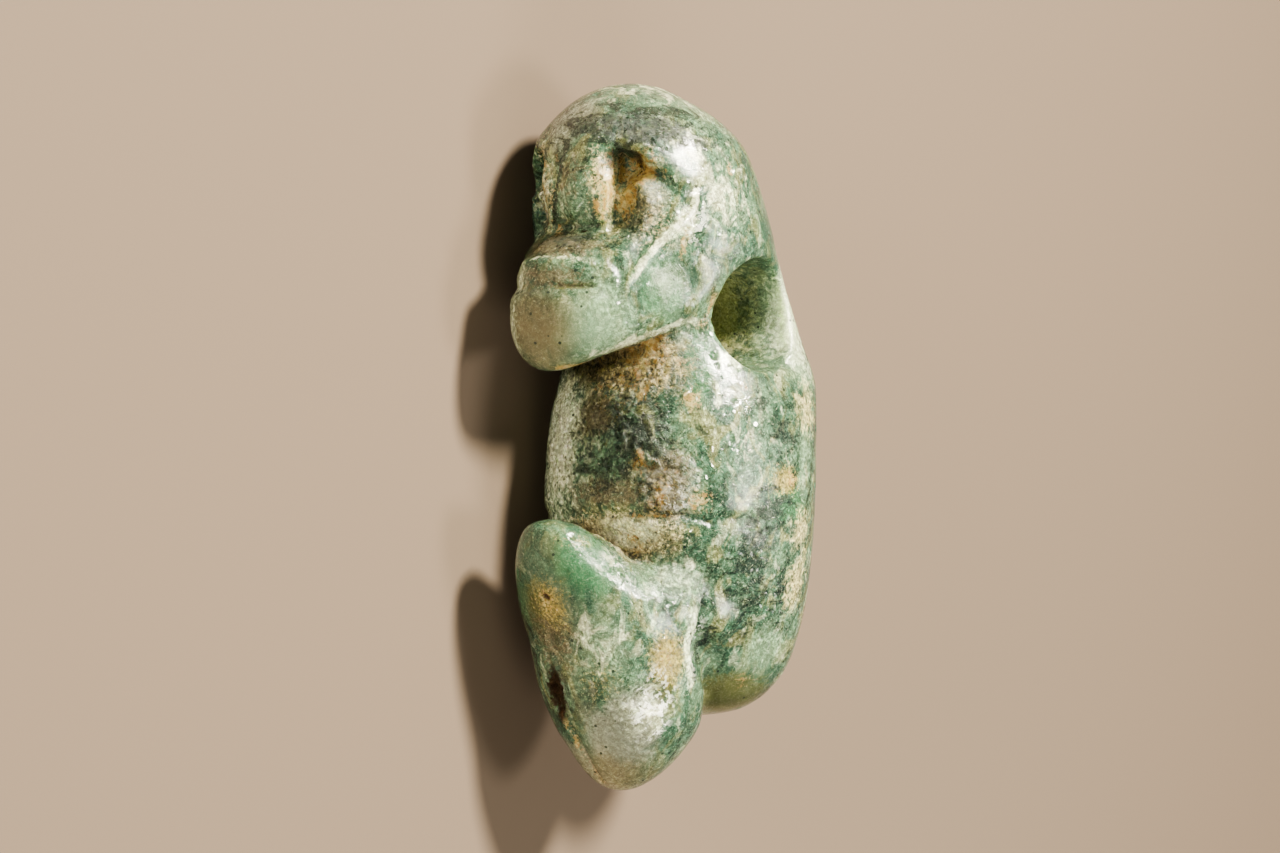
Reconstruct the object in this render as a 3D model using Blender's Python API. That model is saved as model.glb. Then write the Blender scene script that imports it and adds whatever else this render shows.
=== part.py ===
"""A pendant of green stone, carved as one solid in the shape of a crouching figure.

The figure is modelled as it lies when loose, on its right side: its face looks
along -X, its head lies towards +Y and its left side is up, along +Z. The origin is
under the middle of its outline, on the surface that it lies on.

Lengths written as shares are hundredths of the figure's height, crown to toe.
"""

import math

import bmesh
import bpy
import numpy as np
from mathutils import Matrix, Vector

# Driving dimensions, in metres and degrees
FIGURE_HEIGHT = 0.055  # crown to toe
BORE_MOUTH_DIAMETER = 0.0088  # of the suspension hole, where it opens on each side
BORE_WAIST_DIAMETER = 0.0068  # of the same hole at its middle, where the two drillings meet
BORE_WEAR = 0.0007  # depth to which a cord has worn the back of each mouth
REST_ROLL = -12.0  # about the long axis, as the heavier face side settles lower
REST_PITCH = -1.2  # about the cross axis, so that cheek and hip touch together
REST_SPOT_DEPTH = 0.00025  # stone worn away where the figure lies

# Fineness of the modelling, in shares of the height and triangles
CLAY_VOXEL = 0.60
FINAL_TRIANGLES = 8400

STONE_COLOUR = (0.30, 0.44, 0.31, 1.0)
STONE_ROUGHNESS = 0.28


# Crown to rump, as level slices: height, centre forward, half depth, half width, squareness
TRUNK = (
    (100.8, 8.8, 0.6, 0.6, 2.0),  # crown
    (100.3, 8.8, 4.2, 3.8, 2.0),
    (98.4, 8.6, 8.4, 7.6, 2.0),
    (95.7, 7.5, 12.4, 11.2, 2.0),
    (92.8, 7.1, 14.9, 13.6, 2.1),  # forehead
    (90.0, 6.5, 16.1, 14.6, 2.1),
    (86.4, 6.0, 17.1, 15.5, 2.1),  # eyes
    (80.8, 4.6, 17.6, 16.4, 2.1),  # cheeks
    (76.5, 3.3, 17.2, 16.3, 2.2),
    (72.3, 0.0, 15.4, 15.0, 2.5),  # nape
    (66.6, -2.5, 15.5, 14.5, 2.8),
    (62.8, -3.0, 16.5, 15.2, 2.8),  # neck
    (60.3, -3.2, 17.2, 16.2, 2.7),
    (58.1, -3.3, 17.8, 17.1, 2.5),  # shoulders
    (53.0, -2.5, 18.5, 18.0, 2.4),
    (44.0, -1.8, 18.8, 18.3, 2.4),  # chest
    (38.3, -1.9, 18.5, 18.0, 2.4),  # belly
    (32.7, -3.2, 17.4, 17.0, 2.3),
    (27.0, -4.8, 15.9, 15.5, 2.2),  # hips
    (21.4, -6.5, 13.7, 13.4, 2.1),
    (17.0, -7.0, 11.8, 11.6, 2.0),
    (13.4, -6.6, 8.8, 8.8, 2.0),
    (11.4, -6.2, 5.4, 5.4, 2.0),
    (10.5, -6.0, 0.6, 0.6, 2.0),  # rump
)

# Knees to toes, as level slices in the same order
SHINS = (
    (39.6, 25.2, 0.4, 0.4, 2.0),  # knees
    (38.8, 25.0, 3.4, 3.4, 2.0),
    (37.1, 23.8, 5.3, 5.3, 2.0),
    (34.1, 21.4, 7.6, 7.5, 2.1),
    (31.0, 18.2, 9.8, 9.6, 2.1),
    (27.0, 14.2, 12.0, 11.8, 2.1),
    (21.4, 11.6, 12.2, 12.0, 2.1),
    (15.7, 10.3, 12.1, 11.8, 2.1),
    (10.0, 9.6, 10.4, 10.2, 2.0),  # ankles
    (7.2, 9.6, 8.7, 8.5, 2.0),
    (4.6, 10.0, 6.8, 6.6, 2.0),
    (2.6, 10.4, 4.6, 4.6, 2.0),
    (1.2, 10.8, 2.4, 2.4, 2.0),
    (0.7, 11.0, 0.4, 0.4, 2.0),  # toes
)

# Jaw, as upright slices from back to front: forward, lowest, highest, half width, squareness
JAW = (
    (-2.0, 69.5, 84.0, 8.0, 2.2),
    (2.0, 68.0, 85.0, 14.4, 2.3),
    (8.0, 65.8, 85.4, 15.2, 3.2),
    (14.0, 63.8, 83.6, 13.6, 3.3),
    (19.0, 61.9, 81.4, 11.2, 2.9),
    (23.5, 60.2, 78.6, 8.8, 2.3),
    (26.5, 59.8, 76.0, 6.8, 2.0),
    (28.8, 61.8, 72.6, 4.2, 2.0),
    (29.7, 65.0, 69.0, 0.8, 2.0),  # chin
)

# Thighs, as upright slices from the hips to the knees, in the same order
THIGHS = (
    (-6.0, 24.0, 32.0, 8.0, 2.2),
    (-2.0, 20.0, 35.0, 13.6, 2.3),
    (6.0, 19.0, 35.0, 14.0, 2.4),
    (13.0, 20.0, 34.0, 12.6, 2.3),
    (19.0, 24.0, 33.0, 9.0, 2.1),
    (22.0, 27.0, 31.0, 4.0, 2.0),
)

# The suspension hole runs from side to side through the neck
BORE_FORWARD = -1.6
BORE_UP = 68.0


def share(hundredths):
    """A length given in hundredths of the figure's height, in metres."""
    return hundredths / 100 * FIGURE_HEIGHT


def place(forward, up, left=0.0):
    """A point of the figure, from shares of its height, as it lies."""
    return Vector((-share(forward), share(up), share(left)))


def smooth_path(stations, steps):
    """Rows between the stations, on a curve through them."""
    rows = np.array(stations, float)
    ends = np.vstack([2 * rows[0] - rows[1], rows, 2 * rows[-1] - rows[-2]])
    made = []
    for i in range(1, len(rows)):
        before, start, end, after = ends[i - 1 : i + 3]
        for t in np.arange(steps) / steps:
            made.append(
                0.5
                * (
                    2 * start
                    + (end - before) * t
                    + (2 * before - 5 * start + 4 * end - after) * t**2
                    + (3 * start - before - 3 * end + after) * t**3
                )
            )
    made.append(rows[-1])
    return made


def rounded_ring(squareness, count):
    """Points (x, y) of a unit ring between a circle, at squareness 2, and a square."""
    ring = []
    for i in range(count):
        angle = math.tau * i / count
        c, s = math.cos(angle), math.sin(angle)
        power = 2 / squareness
        ring.append(
            (
                math.copysign(abs(c) ** power, c),
                math.copysign(abs(s) ** power, s),
            )
        )
    return ring


def loft(name, rings):
    """A closed mesh object through rings of points, capped at both ends."""
    mesh = bmesh.new()
    loops = [[mesh.verts.new(point) for point in ring] for ring in rings]
    for low, high in zip(loops, loops[1:]):
        for i in range(len(low)):
            j = (i + 1) % len(low)
            mesh.faces.new((low[i], low[j], high[j], high[i]))
    mesh.faces.new(loops[0])
    mesh.faces.new(loops[-1])
    bmesh.ops.recalc_face_normals(mesh, faces=mesh.faces)
    data = bpy.data.meshes.new(name)
    mesh.to_mesh(data)
    mesh.free()
    made = bpy.data.objects.new(name, data)
    bpy.context.scene.collection.objects.link(made)
    return made


def level_loft(name, stations, steps=5, count=48):
    """A mass through level slices of the upright figure."""
    rings = []
    for up, centre, depth, width, squareness in smooth_path(stations, steps):
        ring = rounded_ring(max(squareness, 2.0), count)
        rings.append(
            [place(centre + depth * x, up, width * y) for x, y in ring]
        )
    return loft(name, rings)


def upright_loft(name, stations, steps=5, count=40):
    """A mass through upright slices, from back to front."""
    rings = []
    for forward, low, high, width, squareness in smooth_path(stations, steps):
        ring = rounded_ring(max(squareness, 2.0), count)
        middle, half = (low + high) / 2, (high - low) / 2
        rings.append(
            [place(forward, middle + half * x, width * y) for x, y in ring]
        )
    return loft(name, rings)


def joined(name, objects):
    """The objects' meshes in one object."""
    mesh = bmesh.new()
    for obj in objects:
        mesh.from_mesh(obj.data)
        bpy.data.objects.remove(obj)
    data = bpy.data.meshes.new(name)
    mesh.to_mesh(data)
    mesh.free()
    made = bpy.data.objects.new(name, data)
    bpy.context.scene.collection.objects.link(made)
    return made


def fuse(obj, voxel, rounds):
    """Makes overlapping masses one skin, and softens the creases between them."""
    skin = obj.modifiers.new("skin", "REMESH")
    skin.mode = "VOXEL"
    skin.voxel_size = voxel
    soften = obj.modifiers.new("soften", "SMOOTH")
    soften.factor = 0.5
    soften.iterations = rounds
    bake(obj)


def bake(obj):
    """Turns the object's modifiers into its own mesh."""
    graph = bpy.context.evaluated_depsgraph_get()
    data = bpy.data.meshes.new_from_object(obj.evaluated_get(graph))
    obj.modifiers.clear()
    obj.data = data


def thin_out(obj, triangles):
    """Fewer triangles, kept where the surface bends most."""
    obj.data.calc_loop_triangles()
    thinner = obj.modifiers.new("thinner", "DECIMATE")
    thinner.ratio = min(1.0, triangles / len(obj.data.loop_triangles))
    thinner.use_collapse_triangulate = True
    bake(obj)


def vectors(obj, name):
    """The obj's vertex positions or normals as rows."""
    rows = np.empty(len(obj.data.vertices) * 3, np.float32)
    obj.data.vertices.foreach_get(name, rows)
    return rows.reshape(-1, 3).astype(float)


def set_points(obj, points):
    obj.data.vertices.foreach_set("co", points.astype(np.float32).ravel())
    obj.data.update()


def press(obj, middle, along, radii, depth, lean=0.0):
    """Sinks a dish into the surface, as a drill or rubbing stone would.

    middle is (forward, up, left); along is the way in; radii are shares across, up
    and in; lean turns the dish about the way in, in degrees. A depth below zero
    raises the surface instead.
    """
    inward = (place(*along) - place(0, 0, 0)).normalized()
    across = Vector((0, 1, 0)).cross(inward).normalized()
    upright = inward.cross(across)
    turn = Matrix.Rotation(math.radians(lean), 3, inward)
    axes = np.array([turn @ across, turn @ upright, inward])
    points = vectors(obj, "co")
    local = (points - np.array(place(*middle))) @ axes.T
    reach = np.array([share(r) for r in radii])
    near = np.clip(1 - ((local / reach) ** 2).sum(axis=1), 0, 1)
    fall = near * near * (3 - 2 * near)
    set_points(obj, points + np.outer(fall * share(depth), np.array(inward)))


def groove(obj, path, width, depth, reach=3.0):
    """Cuts a rounded groove under a path of (forward, up, left) points.

    The path may run a little above or below the surface, up to the reach.
    """
    points = vectors(obj, "co")
    normals = vectors(obj, "normal")
    line = np.array([place(*p) for p in path])
    gaps = np.full(len(points), np.inf)
    aside = np.full(len(points), np.inf)
    for start, end in zip(line, line[1:]):
        span = end - start
        t = np.clip(((points - start) @ span) / (span @ span), 0, 1)
        gap = points - start - t[:, None] * span
        length = (gap * gap).sum(axis=1)
        flat = length - (gap * normals).sum(axis=1) ** 2
        nearer = length < gaps
        gaps[nearer] = length[nearer]
        aside[nearer] = flat[nearer]
    fall = np.exp(-aside / share(width) ** 2) * (gaps < share(reach) ** 2)
    set_points(obj, points - normals * (fall * share(depth))[:, None])


def arc_path(middle, radii, spread, up, droop=0.0, step=4):
    """Round the figure's front at one height, its ends a little lower."""
    path = []
    for angle in range(-spread, spread + 1, step):
        bend = math.radians(angle)
        path.append(
            (
                middle + radii[0] * math.cos(bend),
                up - droop * (1 - math.cos(bend)),
                radii[1] * math.sin(bend),
            )
        )
    return path


def carve_face(obj):
    for side in (-1, 1):
        # drilled eye, which runs out and down to a shallow corner
        press(obj, (20.2, 88.4, 8.0 * side), (-0.9, 0, -0.45 * side), (3.4, 3.0, 5), 3.0)
        corner = (17.2, 86.6, 11.2 * side)
        press(obj, corner, (-0.8, 0, -0.6 * side), (5.0, 2.3, 4.5), 1.5, 22 * side)
        # flat beside the nose, then the hollow of the cheek
        press(obj, (20.6, 83.6, 8.2 * side), (-0.85, 0, -0.5 * side), (3.6, 6.6, 5.5), 1.5)
        press(obj, (17.4, 81.0, 10.6 * side), (-0.8, 0, -0.6 * side), (5.0, 5.6, 5.0), 0.5)
    press(obj, (23.4, 79.6, 0), (-1, 0.2, 0), (7.6, 2.4, 4.6), 0.8)  # under the nose
    press(obj, (27.0, 75.2, 0), (-1, 0, 0), (9.0, 2.0, 5.0), -0.6)  # upper lip
    groove(obj, arc_path(19.0, (9.6, 8.8), 66, 71.5), 0.7, 0.9)


def carve_body(obj):
    groove(obj, arc_path(-1.8, (18.2, 17.6), 80, 40.2, 1.3), 0.55, 0.8)  # belt
    press(obj, (15.4, 36.6, 0), (-1, 0, 0), (13.5, 3.4, 6.0), 1.8)  # lap
    press(obj, (13.5, 62.0, 0), (-1, 0, 0), (10.5, 4.5, 6.0), 0.5)  # throat
    # between the shins, down to the toes
    groove(obj, [(22.3 - 0.49 * (15.6 - up), up, -0.8) for up in range(3, 24, 2)], 0.6, 0.7)
    for side in (-1, 1):
        # between the buttock and the calf
        crease = [(9.5 - 0.25 * (29 - up) ** 1.25, up, 0.55 * side * up) for up in range(14, 29, 2)]
        groove(obj, crease, 1.7, 1.1, 5.0)


def bore_cutter(name):
    """The hole's two drillings as one turned shape, widest and worn back at its ends."""
    mouth, waist = BORE_MOUTH_DIAMETER / 2, BORE_WAIST_DIAMETER / 2
    neck = share(max(row[3] for row in TRUNK if abs(row[0] - BORE_UP) < 6))
    centre = place(BORE_FORWARD, BORE_UP)
    rings = []
    for z in np.linspace(-1.5, 1.5, 37):
        radius = waist + (mouth - waist) * math.hypot(z, 0.15)
        wear = BORE_WEAR * z * z
        ring = []
        for angle in np.arange(48) / 48 * math.tau:
            back = max(0.0, math.cos(angle)) ** 2
            reach = radius + wear * back
            ring.append(
                centre
                + Vector((reach * math.cos(angle), reach * math.sin(angle), z * neck))
            )
        rings.append(ring)
    made = loft(name, rings)
    made.hide_render = True
    made.display_type = "WIRE"
    return made


def drill(obj):
    """Cuts the suspension hole."""
    cutter = bore_cutter("bore_cutter")
    cut = obj.modifiers.new("bore", "BOOLEAN")
    cut.operation = "DIFFERENCE"
    cut.object = cutter
    bake(obj)
    bpy.data.objects.remove(cutter)


def resting_turn():
    """The turn from the modelled pose to the one in which the figure comes to rest."""
    roll = Matrix.Rotation(math.radians(REST_ROLL), 4, "Y")
    return roll @ Matrix.Rotation(math.radians(REST_PITCH), 4, "X")


def lay_down(obj):
    """Turns the figure onto its right side as it comes to rest, and wears it flat there."""
    obj.data.transform(resting_turn())
    points = vectors(obj, "co")
    low, high = points.min(axis=0), points.max(axis=0)
    ground = low[2] + REST_SPOT_DEPTH
    mesh = bmesh.new()
    mesh.from_mesh(obj.data)
    cut = bmesh.ops.bisect_plane(
        mesh,
        geom=mesh.verts[:] + mesh.edges[:] + mesh.faces[:],
        plane_co=(0, 0, ground),
        plane_no=(0, 0, 1),
        clear_inner=True,
        dist=1e-6,
    )
    rims = [item for item in cut["geom_cut"] if isinstance(item, bmesh.types.BMEdge)]
    bmesh.ops.edgenet_fill(mesh, edges=rims)
    bmesh.ops.recalc_face_normals(mesh, faces=mesh.faces)
    bmesh.ops.translate(
        mesh,
        verts=mesh.verts,
        vec=(-(low[0] + high[0]) / 2, -(low[1] + high[1]) / 2, -ground),
    )
    mesh.to_mesh(obj.data)
    mesh.free()


def stone():
    made = bpy.data.materials.new("jadeite")
    made.use_nodes = True
    shader = made.node_tree.nodes["Principled BSDF"]
    shader.inputs["Base Color"].default_value = STONE_COLOUR
    shader.inputs["Roughness"].default_value = STONE_ROUGHNESS
    shader.inputs["Metallic"].default_value = 0.0
    return made


def carved_figure():
    figure = joined(
        "figure",
        [
            level_loft("trunk", TRUNK),
            level_loft("shins", SHINS),
            upright_loft("jaw", JAW),
            upright_loft("thighs", THIGHS),
        ],
    )
    fuse(figure, share(CLAY_VOXEL), 10)
    carve_face(figure)
    carve_body(figure)
    drill(figure)
    fuse(figure, share(CLAY_VOXEL), 3)
    thin_out(figure, FINAL_TRIANGLES)
    return figure


def main():
    for obj in list(bpy.data.objects):
        bpy.data.objects.remove(obj)
    figure = carved_figure()
    lay_down(figure)
    figure.data.shade_smooth()
    figure.data.materials.append(stone())


main()
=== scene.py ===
import math

import bpy
import numpy as np
from mathutils import Matrix, Vector, noise


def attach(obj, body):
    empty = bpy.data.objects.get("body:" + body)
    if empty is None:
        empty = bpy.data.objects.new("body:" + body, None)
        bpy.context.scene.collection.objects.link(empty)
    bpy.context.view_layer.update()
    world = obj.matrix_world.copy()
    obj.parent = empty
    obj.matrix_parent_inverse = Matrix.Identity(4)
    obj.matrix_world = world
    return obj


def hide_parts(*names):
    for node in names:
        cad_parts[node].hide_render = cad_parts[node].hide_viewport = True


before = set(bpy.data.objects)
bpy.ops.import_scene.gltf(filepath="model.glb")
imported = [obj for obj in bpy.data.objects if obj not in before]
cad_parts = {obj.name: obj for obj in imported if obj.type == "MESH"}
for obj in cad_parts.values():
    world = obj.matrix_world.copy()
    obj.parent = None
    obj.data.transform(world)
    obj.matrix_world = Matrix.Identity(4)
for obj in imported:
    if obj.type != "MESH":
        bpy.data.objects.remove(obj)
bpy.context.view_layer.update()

# The figure lies on its right side. Places on it are given as (forward, up, left) in shares,
# which are hundredths of its height, measured from a point under its toes.
figure = {
    "height": 0.055,  # crown to toe, in metres
    "roll": -12.0,  # how it comes to rest, in degrees
    "pitch": -1.2,
    "toeLine": (0.00202, -0.02795, 0.01027),  # where forward 0, up 0, left 0 lies in the world
}


def restTurn():
    roll = Matrix.Rotation(math.radians(figure["roll"]), 3, "Y")
    return roll @ Matrix.Rotation(math.radians(figure["pitch"]), 3, "X")


def share(hundredths):
    return hundredths / 100 * figure["height"]


def worldPlace(forward, up, left=0.0):
    upright = Vector((-share(forward), share(up), share(left)))
    return restTurn() @ upright + Vector(figure["toeLine"])


def worldWay(forward, up, left=0.0):
    return (restTurn() @ Vector((-forward, up, left))).normalized()


def toShares(points):
    # world points as rows of (forward, up, left)
    turn = np.array(restTurn())
    upright = (points - np.array(figure["toeLine"])) @ turn
    return upright * np.array([-1, 1, 1]) / share(1)


view = {
    "turn": 42.0,  # degrees from the face round to the left side
    "lens": 100.0,  # millimetres, as is the sensor
    "sensor": 36.0,
    "pixel": figure["height"] / 707 * 1.014,  # metres to one pixel: 707 rows, then fitted
    "axisColumn": 672,  # where forward 0 falls in the 1280 x 853 picture
    "toeRow": 791,
    "size": (1280, 853),
    "nearest": 0.005,  # metres; nothing nearer is drawn
}


def viewAxes():
    bend = math.radians(view["turn"])
    toCamera = worldWay(math.cos(bend), 0, math.sin(bend))
    right = worldWay(-math.sin(bend), 0, math.cos(bend))
    return right, worldWay(0, 1, 0), toCamera


def makeCamera():
    right, up, toCamera = viewAxes()
    width, height = view["size"]
    aside = (width / 2 - view["axisColumn"]) * view["pixel"]
    above = (view["toeRow"] - height / 2) * view["pixel"]
    distance = view["lens"] / view["sensor"] * width * view["pixel"]
    target = worldPlace(0, 0) + right * aside + up * above
    data = bpy.data.cameras.new("camera")
    data.lens = view["lens"]
    data.sensor_width = view["sensor"]
    data.clip_start = view["nearest"]
    camera = bpy.data.objects.new("camera", data)
    bpy.context.scene.collection.objects.link(camera)
    pose = Matrix((right, up, toCamera)).transposed().to_4x4()
    pose.translation = target + toCamera * distance
    camera.matrix_world = pose
    bpy.context.scene.camera = camera
    print("camera", round(distance, 4), "m away")


studio = {
    "middle": (0.0, 0.0, 0.008),
    "surround": (0.62, 0.60, 0.56),
    "surroundStrength": 0.24,
    "floorColour": (0.185, 0.145, 0.108),
    "floorRoughness": 0.85,
    "floorSize": 3.0,
    "contrast": "AgX - High Contrast",
}

# Each light: its way, given along the picture's right, its up and towards the camera,
# then distance, size, watts, colour and whether the stone mirrors it
lights = {
    "key": ((0.71, 0.58, 0.38), 0.55, 0.10, 8.0, (1.0, 0.93, 0.81), True),
    "side": ((0.95, -0.15, 0.25), 0.5, 0.14, 1.0, (1.0, 0.95, 0.88), True),
    "fill": ((-0.35, 0.15, 0.92), 0.6, 0.18, 2.5, (1.0, 0.95, 0.88), False),
    "bounce": ((0.3, -0.8, 0.5), 0.5, 0.35, 1.6, (1.0, 0.93, 0.84), False),
}


def makeLight(name, way, distance, size, watts, colour, mirrored):
    right, up, toCamera = viewAxes()
    aside, above, nearer = way
    outward = (right * aside + up * above + toCamera * nearer).normalized()
    data = bpy.data.lights.new(name, "AREA")
    data.shape = "DISK"
    data.size = size
    data.energy = watts
    data.color = colour
    light = bpy.data.objects.new(name, data)
    bpy.context.scene.collection.objects.link(light)
    light.location = Vector(studio["middle"]) + outward * distance
    light.visible_glossy = mirrored
    light.rotation_euler = (-outward).to_track_quat("-Z", "Y").to_euler()


def makeStudio():
    for name, settings in lights.items():
        makeLight(name, *settings)
    world = bpy.data.worlds.new("surround")
    world.use_nodes = True
    background = world.node_tree.nodes["Background"]
    background.inputs["Color"].default_value = (*studio["surround"], 1)
    background.inputs["Strength"].default_value = studio["surroundStrength"]
    bpy.context.scene.world = world
    bpy.context.scene.view_settings.look = studio["contrast"]
    half = studio["floorSize"] / 2
    mesh = bpy.data.meshes.new("floor")
    corners = [(-half, -half, 0), (half, -half, 0), (half, half, 0), (-half, half, 0)]
    mesh.from_pydata(corners, [], [(0, 1, 2, 3)])
    floor = bpy.data.objects.new("floor", mesh)
    bpy.context.scene.collection.objects.link(floor)
    material = bpy.data.materials.new("floorPaper")
    material.use_nodes = True
    shader = material.node_tree.nodes["Principled BSDF"]
    shader.inputs["Base Color"].default_value = (*studio["floorColour"], 1)
    shader.inputs["Roughness"].default_value = studio["floorRoughness"]
    mesh.materials.append(material)


stone = {
    "voxel": 0.00015,  # fineness of the carved mesh, in metres
    "settling": 8,  # rounds that take away the solid's facets
    "settlingStep": 0.5,
    "triangles": 190000,
}


def applied(piece):
    # the mesh that the piece's modifiers make, kept in their place
    graph = bpy.context.evaluated_depsgraph_get()
    made = bpy.data.meshes.new_from_object(piece.evaluated_get(graph))
    piece.modifiers.clear()
    piece.data = made
    made.shade_smooth()
    return piece


def fineCopy(node):
    # the solid's form as a fine, even mesh
    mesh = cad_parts[node].data.copy()
    piece = bpy.data.objects.new("carvedStone", mesh)
    bpy.context.scene.collection.objects.link(piece)
    remesh = piece.modifiers.new("remesh", "REMESH")
    remesh.mode = "VOXEL"
    remesh.voxel_size = stone["voxel"]
    smooth = piece.modifiers.new("smooth", "SMOOTH")
    smooth.factor = stone["settlingStep"]
    smooth.iterations = stone["settling"]
    return applied(piece)


def countTriangles(piece):
    return sum(len(face.vertices) - 2 for face in piece.data.polygons)


def thinOut(piece):
    # fewer triangles where the surface is even
    triangles = countTriangles(piece)
    fewer = piece.modifiers.new("fewer", "DECIMATE")
    fewer.ratio = min(1.0, stone["triangles"] / triangles)
    applied(piece)
    print("thinned from", triangles, "triangles to", countTriangles(piece))


def readRows(mesh, name):
    rows = np.empty(len(mesh.vertices) * 3, np.float32)
    mesh.vertices.foreach_get(name, rows)
    return rows.reshape(-1, 3).astype(float)


def writePoints(mesh, points):
    mesh.vertices.foreach_set("co", points.astype(np.float32).ravel())
    mesh.update()


def eased(amount):
    amount = np.clip(amount, 0, 1)
    return amount * amount * (3 - 2 * amount)


def nearLine(places, path):
    # how far each place is from a path, how far along it from 0 to 1, and the step from it
    line = np.array(path, float)
    lengths = np.linalg.norm(np.diff(line, axis=0), axis=1)
    starts = np.concatenate([[0], np.cumsum(lengths)])
    gap = np.full(len(places), np.inf)
    along = np.zeros(len(places))
    step = np.zeros((len(places), 3))
    for i, (start, end) in enumerate(zip(line, line[1:])):
        span = end - start
        t = np.clip(((places - start) @ span) / (span @ span), 0, 1)
        away = places - start - t[:, None] * span
        far = np.linalg.norm(away, axis=1)
        nearer = far < gap
        gap[nearer] = far[nearer]
        along[nearer] = (starts[i] + t[nearer] * lengths[i]) / starts[-1]
        step[nearer] = away[nearer]
    return gap, along, step


carving = {
    "notchReach": 5,  # how far above and below its plane a notch cuts, in shares
    "facetEdge": 2,  # how many of its reaches from its middle a facet ends
    "roughEdge": 1.5,  # the same for a rough place
}


def otherSide(path):
    # the same path on the figure's right side
    return [(forward, up, -left) for forward, up, left in path]


# Each dish: middle, way in, reach (across, up, in), depth, softness of its wall, and lean in
# degrees. Depths, reaches and widths are in shares too, here and below.
dishes = {
    "nearCheek": ((19.0, 82.0, 9.4), (-0.85, 0, -0.5), (4.4, 5.0, 5.0), 0.5, 1.0, 0),
    "farCheek": ((19.0, 82.0, -9.4), (-0.85, 0, 0.5), (4.4, 5.0, 5.0), 0.5, 1.0, 0),
    "nearJaw": ((14.0, 73.0, 14.4), (-0.35, 0, -0.93), (6.5, 3.2, 4.5), 0.7, 1.0, -30),
    "farJaw": ((14.0, 73.0, -14.4), (-0.35, 0, 0.93), (6.5, 3.2, 4.5), 0.6, 1.0, 30),
    "brownPit": ((21.8, 15.4, -2.4), (-1, 0, 0), (1.5, 3.6, 3.5), 0.9, 0.45, -8),
    "kneePit": ((26.6, 28.6, 0.6), (-1, 0, 0), (0.8, 0.9, 2), 0.35, 0.6, 0),
    "kneeTopPit": ((26.6, 36.6, 2.4), (-0.5, -0.8, -0.2), (2.2, 1.1, 2), 0.35, 0.6, 10),
    "templePit": ((4.5, 88.1, 15.2), (0, 0, -1), (0.8, 0.8, 2), 0.3, 0.5, 0),
    "lapFill": ((15.0, 37.2, 3.5), (-1, 0, 0), (9.0, 3.2, 4.0), -0.7, 1.0, 0),
    "rimLedge": ((-7.2, 61.0, 14.8), (0, -0.3, -1), (3.2, 1.6, 3), 0.5, 0.7, 0),
}

eyeCorners = ((20.4, 91.2, 6.6), (17.0, 89.8, 9.8), (15.4, 87.0, 12.4), (17.6, 85.6, 9.4), (20.0, 84.6, 6.4))
browPath = ((20.3, 91.4, 7.2), (18.8, 90.4, 9.6), (16.4, 88.4, 12.0), (14.2, 86.0, 13.6))

# Each notch, cut with flat sides: its deepest place, its corners, way in, depth and steepness
notches = {
    "nearEye": ((18.8, 89.0, 7.8), eyeCorners, (-0.85, 0, -0.5), 2.0, 1.5),
    "farEye": ((18.8, 89.0, -7.8), otherSide(eyeCorners), (-0.85, 0, 0.5), 1.6, 1.5),
}

# Each worn flat that catches the light: middle, way out, reach and depth
facets = {
    "shinLow": ((15.6, 12.6, 9.8), (0.40, 0.30, 0.86), 2.6, 0.2),
}

# Each wall: its path, the side that is cut back from it, way in, reach, softness of its edge,
# and how deep the cut is along it
walls = {
    "nearNose": (
        ((20.4, 92.4, 6.8), (20.2, 89.5, 6.5), (20.3, 85.0, 5.9), (20.5, 81.2, 5.6)),
        (-0.3, 0, 0.95), (-0.95, 0, -0.3), 3.4, 0.3, (0.3, 2.0, 2.3, 1.8),
    ),
    "noseFace": (
        ((21.6, 91.6, 4.4), (22.8, 88.4, 2.6), (23.0, 84.6, 1.6), (22.2, 81.6, 0.8)),
        (-0.3, 0, 0.95), (-1, 0, 0), 5.0, 4.4, (0.1, 1.0, 1.2, 0.9),
    ),
    "farNose": (
        ((22.4, 91.2, 0.2), (22.9, 87.6, -0.7), (22.9, 84.5, -1.4), (22.0, 81.4, -3.0)),
        (-0.2, 0, -0.98), (-0.95, 0, 0.3), 3.8, 0.5, (0.1, 1.2, 1.6, 1.2),
    ),
    "noseFoot": (
        ((21.9, 81.2, -4.6), (21.6, 80.6, -1.0), (21.3, 80.6, 3.0), (20.5, 81.0, 6.2)),
        (0, -1, 0), (-1, 0, 0), 2.0, 0.5, (0.6, 0.8, 0.8, 0.7),
    ),
    "nearBrow": (
        browPath, (0.2, -0.98, 0.1), (-0.8, 0, -0.6), 2.0, 0.4, (0.2, 0.8, 0.6, 0.2),
    ),
    "farBrow": (
        otherSide(browPath), (0.2, -0.98, -0.1), (-0.8, 0, 0.6), 2.0, 0.4, (0.2, 0.8, 0.6, 0.2),
    ),
    "lipEnd": (
        ((24.6, 75.4, 6.2), (23.0, 74.6, 8.2), (22.0, 72.6, 9.3), (22.4, 71.0, 9.2)),
        (-0.6, 0, 0.8), (-0.7, 0, -0.7), 1.6, 0.8, (0.2, 0.3),
    ),
    "belly": (
        ((12.6, 47.4, -12.0), (16.0, 48.4, -2.0), (15.6, 48.0, 6.0), (13.4, 47.0, 12.0)),
        (0, -1, 0), (-1, 0, 0), 2.2, 0.6, (0.35, 0.35),
    ),
    "shinFacet": (
        ((8.6, 27.0, 12.6), (9.4, 22.5, 11.9), (9.6, 17.0, 11.2), (9.0, 13.6, 10.6)),
        (-1, 0, 0.1), (0.25, 0, -0.97), 3.0, 0.5, (0.5, 0.5),
    ),
}

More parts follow.
